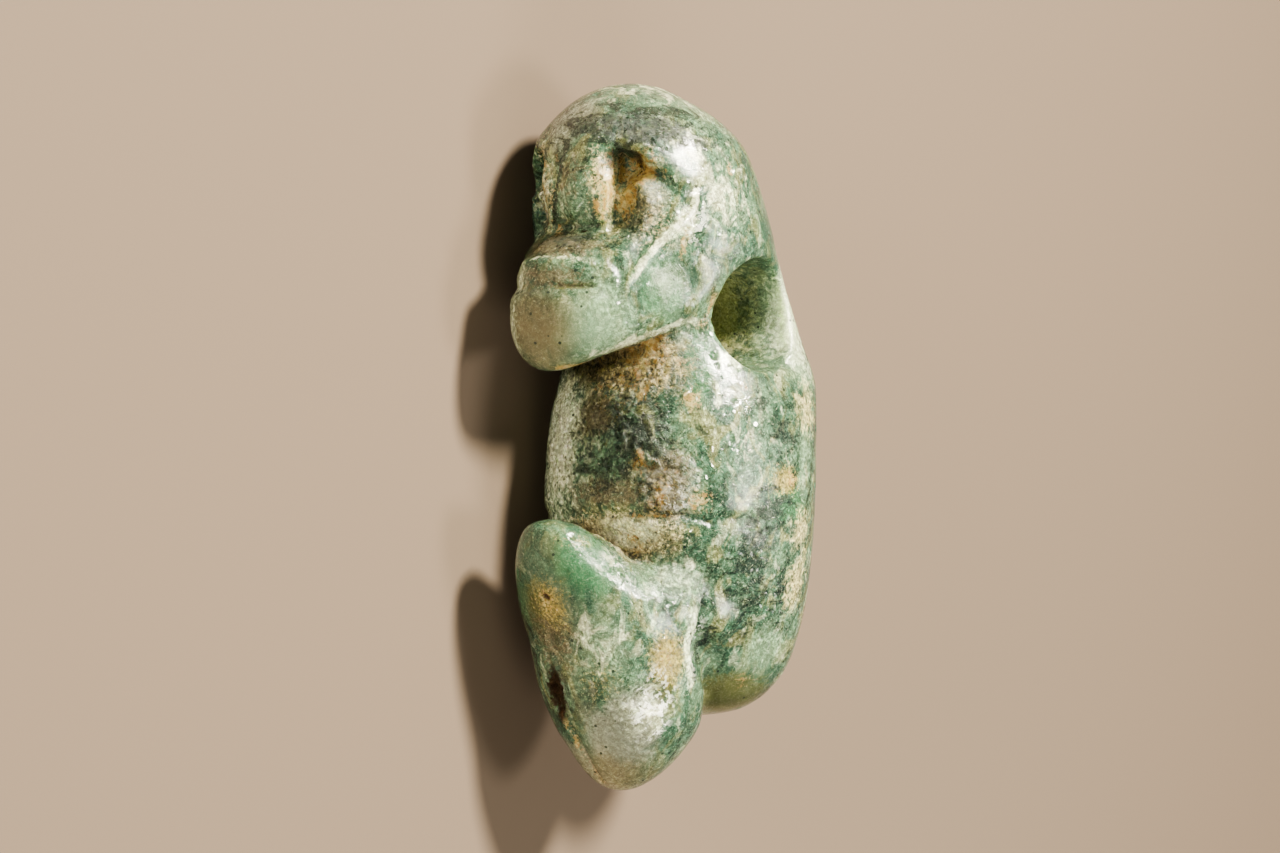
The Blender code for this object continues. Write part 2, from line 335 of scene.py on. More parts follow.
# Each line: path, width, depth at its start and end; a depth below zero raises a ridge
lines = {
    "eyeCorner": (
        ((19.6, 88.6, 8.2), (18.2, 87.6, 9.8), (16.6, 86.3, 11.6), (14.4, 84.9, 13.3)), 0.7, 0.7, 0.25,
    ),
    "eyeScratch": (((18.4, 86.8, 9.4), (16.4, 85.0, 11.6), (14.6, 83.6, 13.2)), 0.45, 0.4, 0.2),
    "farEyeCorner": (((19.6, 88.6, -8.2), (18.2, 87.5, -9.8), (16.6, 86.3, -11.6)), 0.8, 0.7, 0.2),
    "noseRidge": (((21.4, 91.4, 4.6), (22.8, 87.6, 2.4), (23.2, 82.6, 1.2)), 1.6, -0.3, -0.6),
    "upperLip": (
        ((26.6, 75.0, -5.0), (27.8, 75.0, -1.4), (26.8, 75.1, 3.2), (24.1, 74.6, 6.7)), 0.5, -0.3, -0.2,
    ),
    "overLip": (
        ((26.0, 76.6, -5.0), (26.8, 76.7, -1.4), (26.0, 76.8, 3.2), (23.6, 76.2, 7.2)), 0.7, 0.35, 0.25,
    ),
    "mouth": (
        ((27.6, 71.6, 0.5), (27.4, 71.5, 3.7), (26.0, 71.5, 5.6), (24.5, 71.6, 7.2)), 0.32, 0.6, 0.6,
    ),
    "cheekRidge": (
        ((12.0, 83.5, 15.0), (12.8, 81.5, 14.9), (16.6, 77.3, 11.9), (21.7, 71.0, 9.8)), 0.6, -0.6, -0.35,
    ),
    "underCheek": (
        ((12.0, 78.6, 15.2), (15.4, 75.0, 12.6), (19.8, 69.6, 10.8)), 1.0, 0.3, 0.2,
    ),
    "belt": (
        ((13.2, 39.6, -11.0), (16.2, 39.8, -1.0), (15.7, 40.2, 6.7), (12.6, 40.1, 12.8), (9.3, 39.0, 15.4)),
        0.35, 0.6, 0.25,
    ),
    "beltBand": (
        ((12.2, 38.0, -11.0), (15.4, 38.4, -1.0), (15.2, 38.6, 6.7), (12.4, 38.4, 12.6)), 0.8, -0.4, -0.05,
    ),
    "shinLine": (
        ((23.4, 20.5, -2.6), (22.2, 15.6, -2.2), (20.6, 11.8, -1.9), (18.2, 7.7, -1.2), (14.8, 2.6, -0.4)),
        0.5, 0.4, 0.35,
    ),
    "calfCrease": (((6.2, 27.0, 12.2), (4.6, 22.3, 11.4), (3.0, 18.6, 9.6), (1.6, 15.0, 7.4)), 0.8, 0.6, 0.5),
}

# Where the stone was left rough or has weathered: middle, reach, amount
roughPlaces = (
    ((12.0, 61.5, 3.0), (5.0, 5.5, 11.0), 1.0),  # throat
    ((15.2, 51.0, 1.0), (4.0, 8.0, 11.0), 0.75),  # chest
    ((16.0, 13.0, 8.0), (4.0, 7.0, 4.0), 0.3),  # shins
    ((14.0, 44.0, 11.0), (4.0, 5.0, 4.5), 0.9),  # left side, over the belt line
    ((14.0, 36.8, 3.0), (4.5, 3.4, 10.0), 1.0),  # lap
    ((17.8, 87.4, 9.4), (3.0, 2.6, 4.0), 0.7),  # near eye
    ((18.6, 82.4, 9.4), (3.0, 4.6, 3.5), 0.8),  # beside the nose
    ((18.6, 84.4, -9.4), (3.0, 5.0, 4.0), 0.8),  # far eye and cheek
    ((15.0, 93.2, 4.0), (7.0, 2.8, 10.0), 0.7),  # forehead
    ((24.4, 78.2, 0.5), (3.0, 1.6, 6.0), 0.5),  # over the lip
    ((22.0, 36.0, 7.0), (4.0, 2.6, 4.0), 0.45),  # knee's upper edge
    ((21.8, 15.2, -2.2), (2.0, 4.2, 1.8), 1.0),  # brown pit
    ((-8.0, 67.0, 6.0), (5.0, 10.0, 10.0), 0.35),  # in the hole
    ((14.1, 20.0, 11.7), (3.0, 3.4, 3.0), 0.8),  # shin's yellow patch
    ((19.4, 34.0, 9.6), (4.0, 2.6, 3.4), 0.6),  # behind the knee
    ((12.0, 31.0, 11.6), (4.0, 2.4, 3.4), 0.6),  # where the knee meets the hip
    ((15.5, 72.5, 13.4), (3.6, 3.4, 3.0), 0.4),  # jaw
    ((1.5, 39.5, 17.6), (3.0, 2.0, 2.0), 0.5),  # end of the belt line
)


def unit(way):
    way = np.array(way, float)
    return way / np.linalg.norm(way)


def pressDishes(points):
    for middle, way, reach, depth, softness, lean in dishes.values():
        inward = Vector(way).normalized()
        across = Vector((0, 1, 0)).cross(inward).normalized()
        turn = Matrix.Rotation(math.radians(lean), 3, inward)
        axes = np.array([turn @ across, turn @ inward.cross(across), inward])
        local = (toShares(points) - np.array(middle)) @ axes.T / np.array(reach)
        fall = eased((1 - np.linalg.norm(local, axis=1)) / softness)
        points = points + fall[:, None] * np.array(worldWay(*way)) * share(depth)
    return points


def cutNotches(points):
    for deepest, corners, way, depth, steepness in notches.values():
        inward = unit(way)
        steps = toShares(points) - np.array(deepest)
        above = steps @ inward
        steps = steps - np.outer(above, inward)
        spokes = np.array(corners) - np.array(deepest)
        spokes = spokes - np.outer(spokes @ inward, inward)
        outwards = np.zeros(len(points))
        for start, end in zip(spokes, np.roll(spokes, -1, axis=0)):
            across = np.cross(end - start, inward)
            outwards = np.maximum(outwards, steps @ across / (start @ across))
        fall = np.clip((1 - outwards) * steepness, 0, 1) * (np.abs(above) < carving["notchReach"])
        points = points + fall[:, None] * np.array(worldWay(*way)) * share(depth)
    return points


def cutWalls(points):
    for path, side, way, reach, softness, depths in walls.values():
        gap, along, step = nearLine(toShares(points), path)
        depth = np.interp(along, np.linspace(0, 1, len(depths)), depths)
        fall = depth * eased(step @ unit(side) / softness) * np.exp(-((gap / reach) ** 2))
        points = points + fall[:, None] * np.array(worldWay(*way)) * share(1)
    return points


def grindFacets(points):
    for middle, way, reach, depth in facets.values():
        outward = unit(way)
        step = toShares(points) - np.array(middle)
        high = step @ outward + depth
        fall = np.maximum(high, 0) * eased(carving["facetEdge"] - np.linalg.norm(step, axis=1) / reach)
        points = points - fall[:, None] * np.array(worldWay(*way)) * share(1)
    return points


def drawLines(mesh):
    for path, width, startDepth, endDepth in lines.values():
        points = readRows(mesh, "co")
        gap, along, step = nearLine(toShares(points), path)
        depth = (startDepth + (endDepth - startDepth) * along) * np.exp(-((gap / width) ** 2))
        writePoints(mesh, points - readRows(mesh, "normal") * depth[:, None] * share(1))


def carveDetail(piece):
    # sharpens what the solid only hints at
    mesh = piece.data
    points = cutNotches(pressDishes(readRows(mesh, "co")))
    writePoints(mesh, cutWalls(points))
    drawLines(mesh)
    writePoints(mesh, grindFacets(readRows(mesh, "co")))
    print("carved", len(dishes) + len(notches) + len(walls) + len(lines) + len(facets), "details")


def roughness(places):
    rough = np.zeros(len(places))
    for middle, reach, amount in roughPlaces:
        far = np.linalg.norm((places - np.array(middle)) / np.array(reach), axis=1)
        rough = np.maximum(rough, eased(carving["roughEdge"] - far) * amount)
    return rough


surface = {
    "swell": (0.10, 0.10),  # waves of the hand-ground surface: shares high, and how often in a share
    "ripple": (0.05, 0.34),
    "rippleShift": (7, 3, 1),  # so that ripples don't follow the swells
    "grit": (0.30, 0.9),  # only where it is rough
    "gritFrom": 0.02,  # the roughness at which grit starts
    "gritFractal": (0.7, 2.1, 4),  # its evenness, how much finer each octave is, and octaves
    "pitSpacing": 2.1,  # shares
    "pitDepth": 0.30,
    "pitSpread": 3.7,  # sets the pits' chances apart
    "pitChance": (0.62, 0.5),  # a pit's chance is over the first, less roughness times the second
    "pitSize": (0.12, 0.16),  # in spacings: the least, and what its chance adds
    "pitWall": 1.5,  # steepness
}


def wearSurface(piece):
    # hand-ground swells, grit where it is rough, and scattered pits
    mesh = piece.data
    points = readRows(mesh, "co")
    places = toShares(points)
    rough = roughness(places)
    swellHigh, swellOften = surface["swell"]
    rippleHigh, rippleOften = surface["ripple"]
    gritHigh, gritOften = surface["grit"]
    rippleShift = Vector(surface["rippleShift"])
    rarity, roughRarity = surface["pitChance"]
    leastSize, moreSize = surface["pitSize"]
    lift = np.zeros(len(points))
    for i, place in enumerate(places):
        spot = Vector(place)
        lift[i] = swellHigh * noise.noise(spot * swellOften)
        lift[i] += rippleHigh * noise.noise(spot * rippleOften + rippleShift)
        if rough[i] > surface["gritFrom"]:
            lift[i] += rough[i] * gritHigh * noise.fractal(spot * gritOften, *surface["gritFractal"])
        near = noise.voronoi(spot / surface["pitSpacing"], distance_metric="DISTANCE", exponent=2)
        chance = noise.cell(near[1][0] * surface["pitSpread"])
        if chance > rarity - roughRarity * rough[i]:
            size = leastSize + moreSize * chance
            fall = math.exp(-((near[0][0] / size) ** 2) * surface["pitWall"])
            lift[i] -= surface["pitDepth"] * chance * fall
    points = points + readRows(mesh, "normal") * lift[:, None] * share(1)
    points[:, 2] = np.maximum(points[:, 2], 0.0)
    writePoints(mesh, points)
    print("surface worn")


colourFade = 0.7  # how fast a colour fades from its middle

# Where the stone's broad colours lie, where light and shade are painted on it, where it is clear
# and where broken crystals show, with painted glints: middle, reach and amount
colourPlaces = {
    "pale": (
        ((9, 99, 4), (8, 3, 9), 0.4),
        # the temple: painted highlight
        ((11.8, 90, 13.9), (3, 3.4, 3), 0.45),
        # the cheekbone: painted highlight
        ((13.4, 80.2, 14.2), (1.8, 2.2, 1.8), 1.0),
        ((6, 84, 15.8), (5, 6.5, 4), 0.55),
        # the shoulder: painted highlight
        ((6.7, 56, 15.8), (2.4, 3, 3), 0.3),
        # the shin's bright cloud: painted highlight
        ((15.6, 13.0, 10.2), (2.0, 4, 2.5), 0.5),
        # the hip: painted highlight
        ((10.5, 32.3, 11.9), (2, 2.4, 2), 0.4),
        # the chest's left edge, turned from the lamp: painted sheen
        ((14.5, 51, -8.0), (4, 11, 4.4), 0.65),
        # the shin's front, turned from the lamp: painted light
        ((21.5, 23, 6.5), (3, 5, 3.4), 0.55),
        ((22, 34.4, 8), (2, 1.4, 2), 0.4),
        ((4, 50, 16), (2, 3, 3), 0.4),
        ((-16, 80, -2), (6, 9, 9), 0.5),
        ((-18, 44, 3), (6, 7, 10), 0.5),
        ((6, 50, -17), (6, 6, 5), 0.5),
    ),
    "cream": (
        ((-10, 55, 16.8), (2.4, 2.8, 2.4), 0.85),
        ((-8, 37.6, 17.0), (2.2, 2.2, 2.0), 0.85),
        ((-8.8, 30.6, 15.6), (2.2, 3.4, 2.0), 0.8),
        # the throat under the jaw: partly the stone's pale granules, partly painted light where the jaw
        # shades it
        ((12.4, 61, 4), (3, 3.6, 7), 0.6),
        # the lap under the belly: partly the stone's pale crust, partly painted light where the belly shades
        # it
        ((14.6, 37.4, 4), (3, 2.4, 7), 0.4),
        ((20, 84.4, 5), (2, 3, 2), 0.5),
        ((-17, 60, 3), (4, 6, 6), 0.6),
        ((2, 78, -16), (5, 4, 3), 0.6),
    ),
    "dark": (
        ((14, 93.2, 5), (7.5, 3.4, 10), 1.1),
        ((10, 91.6, 12.0), (2.0, 1.6, 3), 0.7),
        ((20.6, 94.0, 3.0), (2.4, 1.9, 5), 0.95),
        ((-1, 41.0, 17.6), (4.5, 2.8, 3), 0.85),
        ((2, 34, 16.5), (3, 7, 3), 0.9),
        ((1.0, 27, 15.0), (2.4, 4, 3), 0.7),
        ((-5, 28, 15.6), (2.5, 4, 2), 0.6),
        ((15, 51.5, 7), (3.4, 4, 5), 0.95),
        ((15.6, 48, -2), (3, 4, 4), 0.5),
        ((14.6, 45, 4), (3, 3, 4.5), 0.65),
        ((1.2, 55.6, 16.6), (1.4, 3, 2), 0.6),
        ((-4, 51, 18.2), (2.4, 1.7, 2), 0.85),
        ((6, 21, 11.4), (1.4, 4, 2), 0.8),
        ((18.8, 81.5, 9.0), (2, 3, 2.4), 0.6),
        ((24, 78.4, 2), (3, 1.6, 6), 0.55),
        ((-14, 66, -6), (5, 6, 6), 0.6),
        ((-16, 34, -6), (5, 8, 7), 0.6),
        ((2, 60, -14), (6, 7, 4), 0.5),
    ),
    "olive": (
        ((-3, 13.8, 8.5), (6, 3.6, 5), 1.0),
        # under the nose: darker olive, painted shade
        ((22.0, 81.0, 0), (2, 1.8, 4), 0.35),
        ((-9, 14, -6), (6, 4, 6), 0.8),
        ((26.2, 26.6, -0.3), (3.0, 4.5, 3), 1.0),
    ),
    "foam": (
        # the hole's walls, lighter towards the mouth: painted glow
        ((-9.8, 68, 10.6), (3.0, 8, 5), 0.7),
        ((24.0, 65.4, 8.6), (4.4, 6.4, 4.2), 0.75),
        ((15.5, 72.0, 13.4), (4, 4, 3), 0.5),
        # the hole's lower right rim: painted glow
        ((-8.6, 60.6, 14), (4, 3, 4), 0.7),
        ((24, 35.5, -2), (4, 3, 4), 0.25),
        ((27.2, 73.2, 2), (3, 1.8, 7), 0.5),
        # the shin's front, turned from the lamp: painted light
        ((21.5, 23, 6.5), (3, 6, 4), 0.85),
        ((-5, 21, 12.6), (4, 5, 4), 0.7),
        ((8, 96, 8), (8, 4, 8), 0.6),
        ((-8.4, 49.4, 17.6), (2.4, 2.6, 2.4), 0.7),
        ((12.0, 31.0, 11.6), (4.0, 3.2, 3.8), 0.75),
    ),
    "mistAndPaintedLight": (
        # the hole's right wall: painted glow of light through the stone
        ((-11.0, 68, 13.6), (3.4, 9, 3.6), 1.0),
        # the chest's left edge, turned from the lamp: painted sheen
        ((14.0, 51, -10.0), (3, 11, 3.6), 0.9),
        # the shin's bright cloud: painted highlight
        ((16.5, 12.5, 9.6), (2.8, 5, 3), 0.5),
        # the chest's left edge, turned from the lamp: painted sheen
        ((15.2, 51, -7.0), (3, 11, 3.5), 0.8),
        # the lap under the belly: partly the stone's pale crust, partly painted light where the belly shades
        # it
        ((14.6, 37.6, 5), (3, 2.2, 5), 1.0),
        # the hole's lower left rim: painted light
        ((3.4, 61.8, 14.6), (2.4, 1.4, 2), 1.0),
        # the strip beyond the nose, turned from the lamp: partly the stone's pale ochre, partly painted light
        ((21.0, 86, -6.8), (3, 5, 2.4), 1.0),
        ((27.5, 73.0, -5.0), (2.5, 3.4, 2.6), 0.8),
        # the chin's left rim: painted glow
        ((27.8, 65.0, -4.6), (2.5, 5, 1.8), 0.8),
        ((12.0, 31.0, 11.6), (3.2, 2.4, 3.0), 0.42),
    ),
    "honey": (
        ((14.1, 20, 11.7), (2.6, 3.4, 2.2), 1.1),
        ((-3.4, 44.7, 18.2), (2.6, 1.9, 3), 0.95),
        ((19.6, 85.6, 6.6), (1.3, 2.8, 1.2), 1.2),
        ((19.6, 82.6, 7.0), (1.4, 2.6, 1.6), 1.0),
        ((25.0, 36.4, 5.0), (2.0, 1.0, 2.2), 0.5),
        ((26.0, 28.5, 1.0), (2, 4.5, 2.6), 0.7),
        ((20, 17.5, 5), (3, 3, 3), 0.45),
    ),
    "sand": (
        # the lap under the belly: partly the stone's pale crust, partly painted light where the belly shades
        # it
        ((14.6, 37.4, 4), (3.4, 2.6, 8), 1.0),
        # the throat under the jaw: partly the stone's pale granules, partly painted light where the jaw
        # shades it
        ((12.4, 61, 4), (3, 3.6, 7), 0.55),
        ((16.9, 80.8, 11.2), (3, 4, 3), 0.45),
        # the nose's right facet, turned to the lamp: partly the stone's pale ochre, partly painted light
        ((20.9, 87.2, 5.2), (1.4, 3.4, 1.1), 0.75),
        # the strip beyond the nose, turned from the lamp: partly the stone's pale ochre, partly painted light
        ((20.0, 86, -6.4), (3, 5, 2.8), 0.9),
    ),
    "mossAndPaintedGlow": (
        # in the hole: painted glow, much lighter than the stone's own olive
        ((-4.5, 69, 0), (6.5, 9, 7), 1.0),
        ((-7.6, 68, 7.0), (3, 8, 5), 0.5),
    ),
    "clay": (
        ((22.6, 86.5, 1.2), (2, 4.5, 2.0), 0.5),
        ((12.0, 61.0, 3), (4, 5, 9), 0.9),
        ((15.5, 54.0, -1), (4, 4, 5), 0.7),
        ((15.5, 43.0, 3), (4, 2.2, 9), 0.7),
        ((14.0, 44.0, 11), (4, 5, 4), 0.8),
        ((25.0, 77.6, 0), (4, 2.2, 8), 0.9),
        ((27.0, 73.0, 1), (3, 1.6, 8), 0.7),
        ((22.5, 86.5, 2), (3, 4, 3), 0.5),
        ((19.0, 83.0, 9), (3, 4, 3), 0.6),
        ((14.0, 36.4, 3), (4, 3, 9), 0.9),
        ((24.4, 23.0, -1), (4, 6, 4), 0.6),
    ),
    "emerald": (
        ((24, 33.6, 5), (4, 5, 7), 0.9),
        ((8.8, 60.0, 12.6), (2.4, 4, 2), 1.2),
        ((16.5, 72, 12.6), (4, 4.0, 3), 0.85),
        ((24, 30, -6), (5, 6, 4), 0.8),
        ((-4, 41, 18), (4, 2.4, 3), 0.8),
        ((-12, 90, 4), (6, 6, 7), 0.6),
        ((-17, 50, -8), (5, 8, 7), 0.6),
    ),
    "grey": (
        ((17, 10.0, 6.5), (4.6, 6, 5), 1.0),
        ((15, 6, -3), (4, 5, 4), 0.7),
        ((19.5, 95, -2), (4, 4, 5), 0.8),
        ((15.5, 73, 13.4), (3, 2.6, 3), 0.5),
        ((17.0, 83.6, 10.8), (3, 3.4, 3), 0.65),
    ),
    "beige": (
        ((28.8, 65.2, 1.0), (5.4, 6.0, 7.0), 0.8),
        ((14.8, 3.6, 2), (6, 4, 6), 0.7),
        ((27.6, 71.0, 1), (3, 3, 6), 0.35),
        ((24.4, 27, 0), (4, 7, 5), 0.55),
    ),
    "ochre": (
        ((17.4, 87.6, 8.4), (3.6, 2.2, 3.4), 1.0),
        ((19.2, 84.4, 7.0), (3.0, 3.8, 1.8), 0.9),
        ((20.6, 82.4, 5.4), (1.6, 2.0, 1.6), 0.7),
        ((17.4, 82.0, 10.0), (2.6, 3.4, 2.6), 0.35),
        ((21.0, 87, -6.0), (3, 5, 3), 0.55),
        ((21.5, 79.8, -2.6), (1.2, 1.0, 1.0), 0.75),
        ((13.4, 77.6, 14.1), (0.8, 1.6, 1.0), 0.8),
        ((4.5, 88.1, 15.2), (0.8, 0.8, 1.2), 1.0),
        ((7.4, 70.5, 12.8), (0.8, 3.0, 1.4), 0.75),
        ((11.5, 62.4, 4), (3, 3.4, 8), 0.6),
        ((14.0, 57.5, 4), (3, 3.0, 5), 0.5),
        ((13.8, 43.4, 11.6), (2.4, 2.6, 3), 0.6),
        ((14.6, 47.0, 8.2), (2, 2.0, 2.4), 0.5),
        ((10.8, 56, 12.9), (0.9, 1.4, 1.4), 0.9),
        ((11, 42, 14.2), (1.4, 1.8, 1.6), 0.8),
        ((13.8, 36.6, 5.5), (3, 2.6, 5), 0.3),
        ((26.4, 36.4, 3.4), (1.4, 0.8, 1.8), 0.6),
        ((26.6, 28.6, 0.4), (1.3, 1.8, 1.8), 0.75),
        ((14.1, 20.6, 11.9), (1.8, 2.0, 1.6), 0.45),
        ((-4, 16.4, 10), (2, 1.2, 2), 0.5),
        ((3, 58.0, 15.6), (1.0, 0.7, 1.4), 0.7),
        ((-4.6, 44.8, 18.2), (1.2, 1.0, 1.2), 0.7),
        ((-13, 76, -9), (5, 6, 5), 0.6),
        ((4, 64, -13), (4, 7, 3), 0.8),
        ((-15, 28, 6), (4, 5, 6), 0.5),
        ((8, 30, -14), (5, 4, 4), 0.7),
    ),
    "brown": (
        ((21.2, 15.6, -2.4), (2.4, 3.4, 1.5), 1.0),
        ((18.5, 88.6, 8.0), (2.6, 1.8, 1.8), 0.95),
        ((26.6, 28.9, 0.6), (0.7, 0.7, 0.7), 0.8),
        ((21.7, 79.8, -2.8), (0.6, 0.6, 0.6), 0.7),
        ((21.3, 79.4, 2.4), (0.5, 0.5, 0.5), 0.8),
        ((22.6, 88.8, -0.8), (0.5, 0.8, 0.5), 0.7),
        ((15.6, 46.2, -2.0), (0.8, 0.8, 0.8), 0.6),
    ),
    "clear": (
        ((28.0, 64.6, 3.0), (6, 5.6, 9), 1.0),
        ((8, 99, 4), (9, 3.0, 10), 0.8),
        ((15.5, 72.0, 13.4), (4, 4, 3), 0.7),
        ((25, 32, 2), (5, 7, 8), 0.9),
        ((16, 8, 3), (6, 7, 8), 0.7),
        ((-3, 13.8, 8.5), (7, 4.6, 7), 1.0),
        ((-4, 68, 6), (6, 10, 9), 0.9),
        ((-4, 82, 14), (4, 8, 4), 0.7),
        ((-9, 66, 12), (4, 10, 5), 0.8),
        ((9.4, 60.4, 12.6), (1.6, 3, 2), 0.8),
    ),
    # where crystal faces show: painted glints, with their own gloss and lean
    "crystals": (
        ((15.2, 13.4, 10.2), (2.8, 5, 3), 1.1),
        ((20.5, 33.6, 9.4), (4, 3, 3), 0.8),
        ((12.4, 80.4, 14.6), (3, 3, 2), 0.7),
        ((8.6, 22, 12), (2, 7, 2.4), 0.6),
        ((12.8, 42.4, 12), (3, 4, 3), 0.5),
    ),
}

# Colours that follow a line, some of them painted highlight and shade: kind, path, width, amount
colourLines = (
    # along the jaw's underside, which lies in shade: painted light
    ("pale", ((23, 61.6, 6.5), (16, 64.6, 10), (10, 66.6, 12.6)), 1.2, 0.95),
    ("ochre", ((26, 60.3, 2.5), (18, 62.2, 5), (12, 64.4, 8), (8, 66.6, 11.8)), 0.8, 0.9),
    # along the cheek's ridge: painted highlight
    (
        "pale",
        ((11.6, 85.0, 15.0), (12.6, 81.6, 14.9), (14.4, 79.4, 13.4), (16.6, 77.3, 11.9), (20.4, 72.4, 10.3)),
        0.46, 1.6,
    ),
    # along the cheek's ridge: painted highlight
    ("mistAndPaintedLight", ((12.8, 81.4, 14.7), (15.4, 78.6, 12.8)), 0.9, 1.05),
    # along the upper lip's ridge: painted highlight
    ("pale", ((27.8, 75.4, -1.4), (26.8, 75.6, 3.2), (24.1, 75.0, 6.7)), 0.5, 0.6),
    ("brown", ((21.6, 12, -2.2), (18.2, 7.7, -1.2), (14.8, 2.6, -0.4)), 0.4, 0.5),
    ("ochre", ((22, 13, -2.2), (18.2, 7.7, -1.2), (14.8, 2.6, -0.4)), 0.9, 0.7),
    ("ochre", ((15.7, 39.9, 6.7), (13.6, 39.8, 11.2)), 0.5, 0.6),
    # along the nose's left edge: painted shadow
    ("dark", ((22.2, 91.4, 0.2), (22.7, 87.6, -0.9), (22.6, 84.5, -1.7), (21.8, 81.4, -3.2)), 0.8, 1.5),
    ("brown", ((22.6, 86.0, -1.4), (22.0, 82.6, -2.8)), 0.45, 0.7),
    ("dark", ((8.2, 27.5, 12.8), (8.6, 22.0, 12.2), (8.0, 16.0, 11.0)), 0.7, 0.8),
    ("mistAndPaintedLight", ((9.8, 26.5, 12.4), (10.0, 21.0, 11.9), (9.4, 16.5, 11.0)), 1.2, 1.0),
    # along the mouth groove: painted shade
    ("olive", ((28.4, 71.6, -3.5), (28.0, 71.5, -1.5), (27.4, 71.4, 3.7), (24.5, 71.5, 6.9)), 0.5, 0.9),
)


def storeAmounts(piece, name, amounts):
    layer = piece.data.attributes.new(name, "FLOAT", "POINT")
    layer.data.foreach_set("value", amounts.astype(np.float32))


def paintPlaces(piece):
    # how much of each kind a point has, before the material breaks it up
    places = toShares(readRows(piece.data, "co"))
    for kind, spots in colourPlaces.items():
        amounts = np.zeros(len(places))
        for middle, reach, amount in spots:
            far = np.linalg.norm((places - np.array(middle)) / np.array(reach), axis=1)
            amounts = np.maximum(amounts, amount * np.exp(-colourFade * far**2))
        for lineKind, path, width, amount in colourLines:
            if lineKind == kind:
                gap = nearLine(places, path)[0]
                amounts = np.maximum(amounts, amount * np.exp(-((gap / width) ** 2)))
        storeAmounts(piece, kind, amounts)
    storeAmounts(piece, "rough", roughness(places))
    print("painted", len(colourPlaces), "kinds of place")


def addNode(tree, kind, settings=(), **inputs):
    # a node with its settings, and its inputs, by name or as i and a number, set or joined
    node = tree.nodes.new(kind)
    for name, value in dict(settings).items():
        setattr(node, name, value)
    for name, value in inputs.items():
        numbered = name[0] == "i" and name[1:].isdigit()
        socket = node.inputs[int(name[1:]) if numbered else name]
        if isinstance(value, bpy.types.NodeSocket):
            tree.links.new(value, socket)
        else:
            socket.default_value = value
    return node


def mathNode(tree, operation, *values):
    inputs = {f"i{number}": value for number, value in enumerate(values)}
    return addNode(tree, "ShaderNodeMath", {"operation": operation}, **inputs).outputs[0]


def plus(tree, a, b):
    return mathNode(tree, "ADD", a, b)


def minus(tree, a, b):
    return mathNode(tree, "SUBTRACT", a, b)


def times(tree, first, *factors):
    for factor in factors:
        first = mathNode(tree, "MULTIPLY", first, factor)
    return first


def vectorNode(tree, operation, a, b=None, scale=None):
    inputs = {"i0": a}
    if b is not None:
        inputs["i1"] = b
    if scale is not None:
        inputs["Scale"] = scale
    return addNode(tree, "ShaderNodeVectorMath", {"operation": operation}, **inputs).outputs[0]


def mixColour(tree, factor, a, b, blend="MIX"):
    settings = {"data_type": "RGBA", "blend_type": blend}
    return addNode(tree, "ShaderNodeMix", settings, i0=factor, i6=a, i7=b).outputs[2]


def mixValue(tree, factor, a, b):
    return addNode(tree, "ShaderNodeMix", {"data_type": "FLOAT"}, i0=factor, i2=a, i3=b).outputs[0]


def rampUp(tree, value, low, high, top=1.0, bottom=0.0):
    settings = {"interpolation_type": "SMOOTHSTEP"}
    inputs = {"i0": value, "i1": low, "i2": high, "i3": bottom, "i4": top}
    return addNode(tree, "ShaderNodeMapRange", settings, **inputs).outputs[0]


def noiseAt(tree, place, scale, detail, rough, warp):
    inputs = {"Vector": place, "Scale": scale, "Detail": detail, "Roughness": rough, "Distortion": warp}
    return addNode(tree, "ShaderNodeTexNoise", {}, **inputs).outputs["Fac"]


def cellsAt(tree, place, scale):
    return addNode(tree, "ShaderNodeTexVoronoi", {}, Vector=place, Scale=scale).outputs


def channels(tree, colour):
    return addNode(tree, "ShaderNodeSeparateColor", {}, Color=colour).outputs


def amountOf(tree, name):
    return addNode(tree, "ShaderNodeAttribute", {"attribute_name": name}).outputs["Fac"]


def grouped(tree, group, **inputs):
    return addNode(tree, "ShaderNodeGroup", {"node_tree": group}, **inputs).outputs[0]


def newGroup(name, inputs, output):
    tree = bpy.data.node_groups.new(name, "ShaderNodeTree")
    for label, start in inputs.items():
        kind = "NodeSocketVector" if start is None else "NodeSocketFloat"
        socket = tree.interface.new_socket(label, in_out="INPUT", socket_type=kind)
        if start is not None:
            socket.default_value = start
    tree.interface.new_socket(output, in_out="OUTPUT", socket_type="NodeSocketFloat")
    entry = tree.nodes.new("NodeGroupInput")
    leave = tree.nodes.new("NodeGroupOutput")
    return tree, entry.outputs, leave.inputs[0]


palette = {
    "mid": (0.054, 0.112, 0.072, 1),
    "light": (0.128, 0.205, 0.128, 1),
    "deep": (0.018, 0.042, 0.027, 1),
    "pale": (0.60, 0.63, 0.44, 1),
    "cream": (0.54, 0.48, 0.25, 1),
    "dark": (0.022, 0.038, 0.029, 1),
    "olive": (0.11, 0.115, 0.045, 1),
    "clay": (0.125, 0.108, 0.065, 1),
    "sand": (0.42, 0.36, 0.20, 1),
    "foam": (0.21, 0.30, 0.19, 1),
    # a milky pale green, used mostly as painted light: glow, sheen and highlights
    "mistAndPaintedLight": (0.60, 0.66, 0.47, 1),
    # painted glints on broken crystal faces
    "crystal": (0.86, 0.88, 0.78, 1),
    "honey": (0.33, 0.27, 0.09, 1),
    # much lighter than the hole's own olive: painted light in the shaded hole
    "mossAndPaintedGlow": (0.56, 0.56, 0.31, 1),
    "straw": (0.24, 0.23, 0.10, 1),
    "emerald": (0.066, 0.165, 0.082, 1),
    "grey": (0.26, 0.27, 0.205, 1),
    "beige": (0.18, 0.15, 0.082, 1),
    "ochre": (0.50, 0.35, 0.12, 1),
    "rust": (0.25, 0.13, 0.035, 1),
    "brown": (0.035, 0.014, 0.005, 1),
}

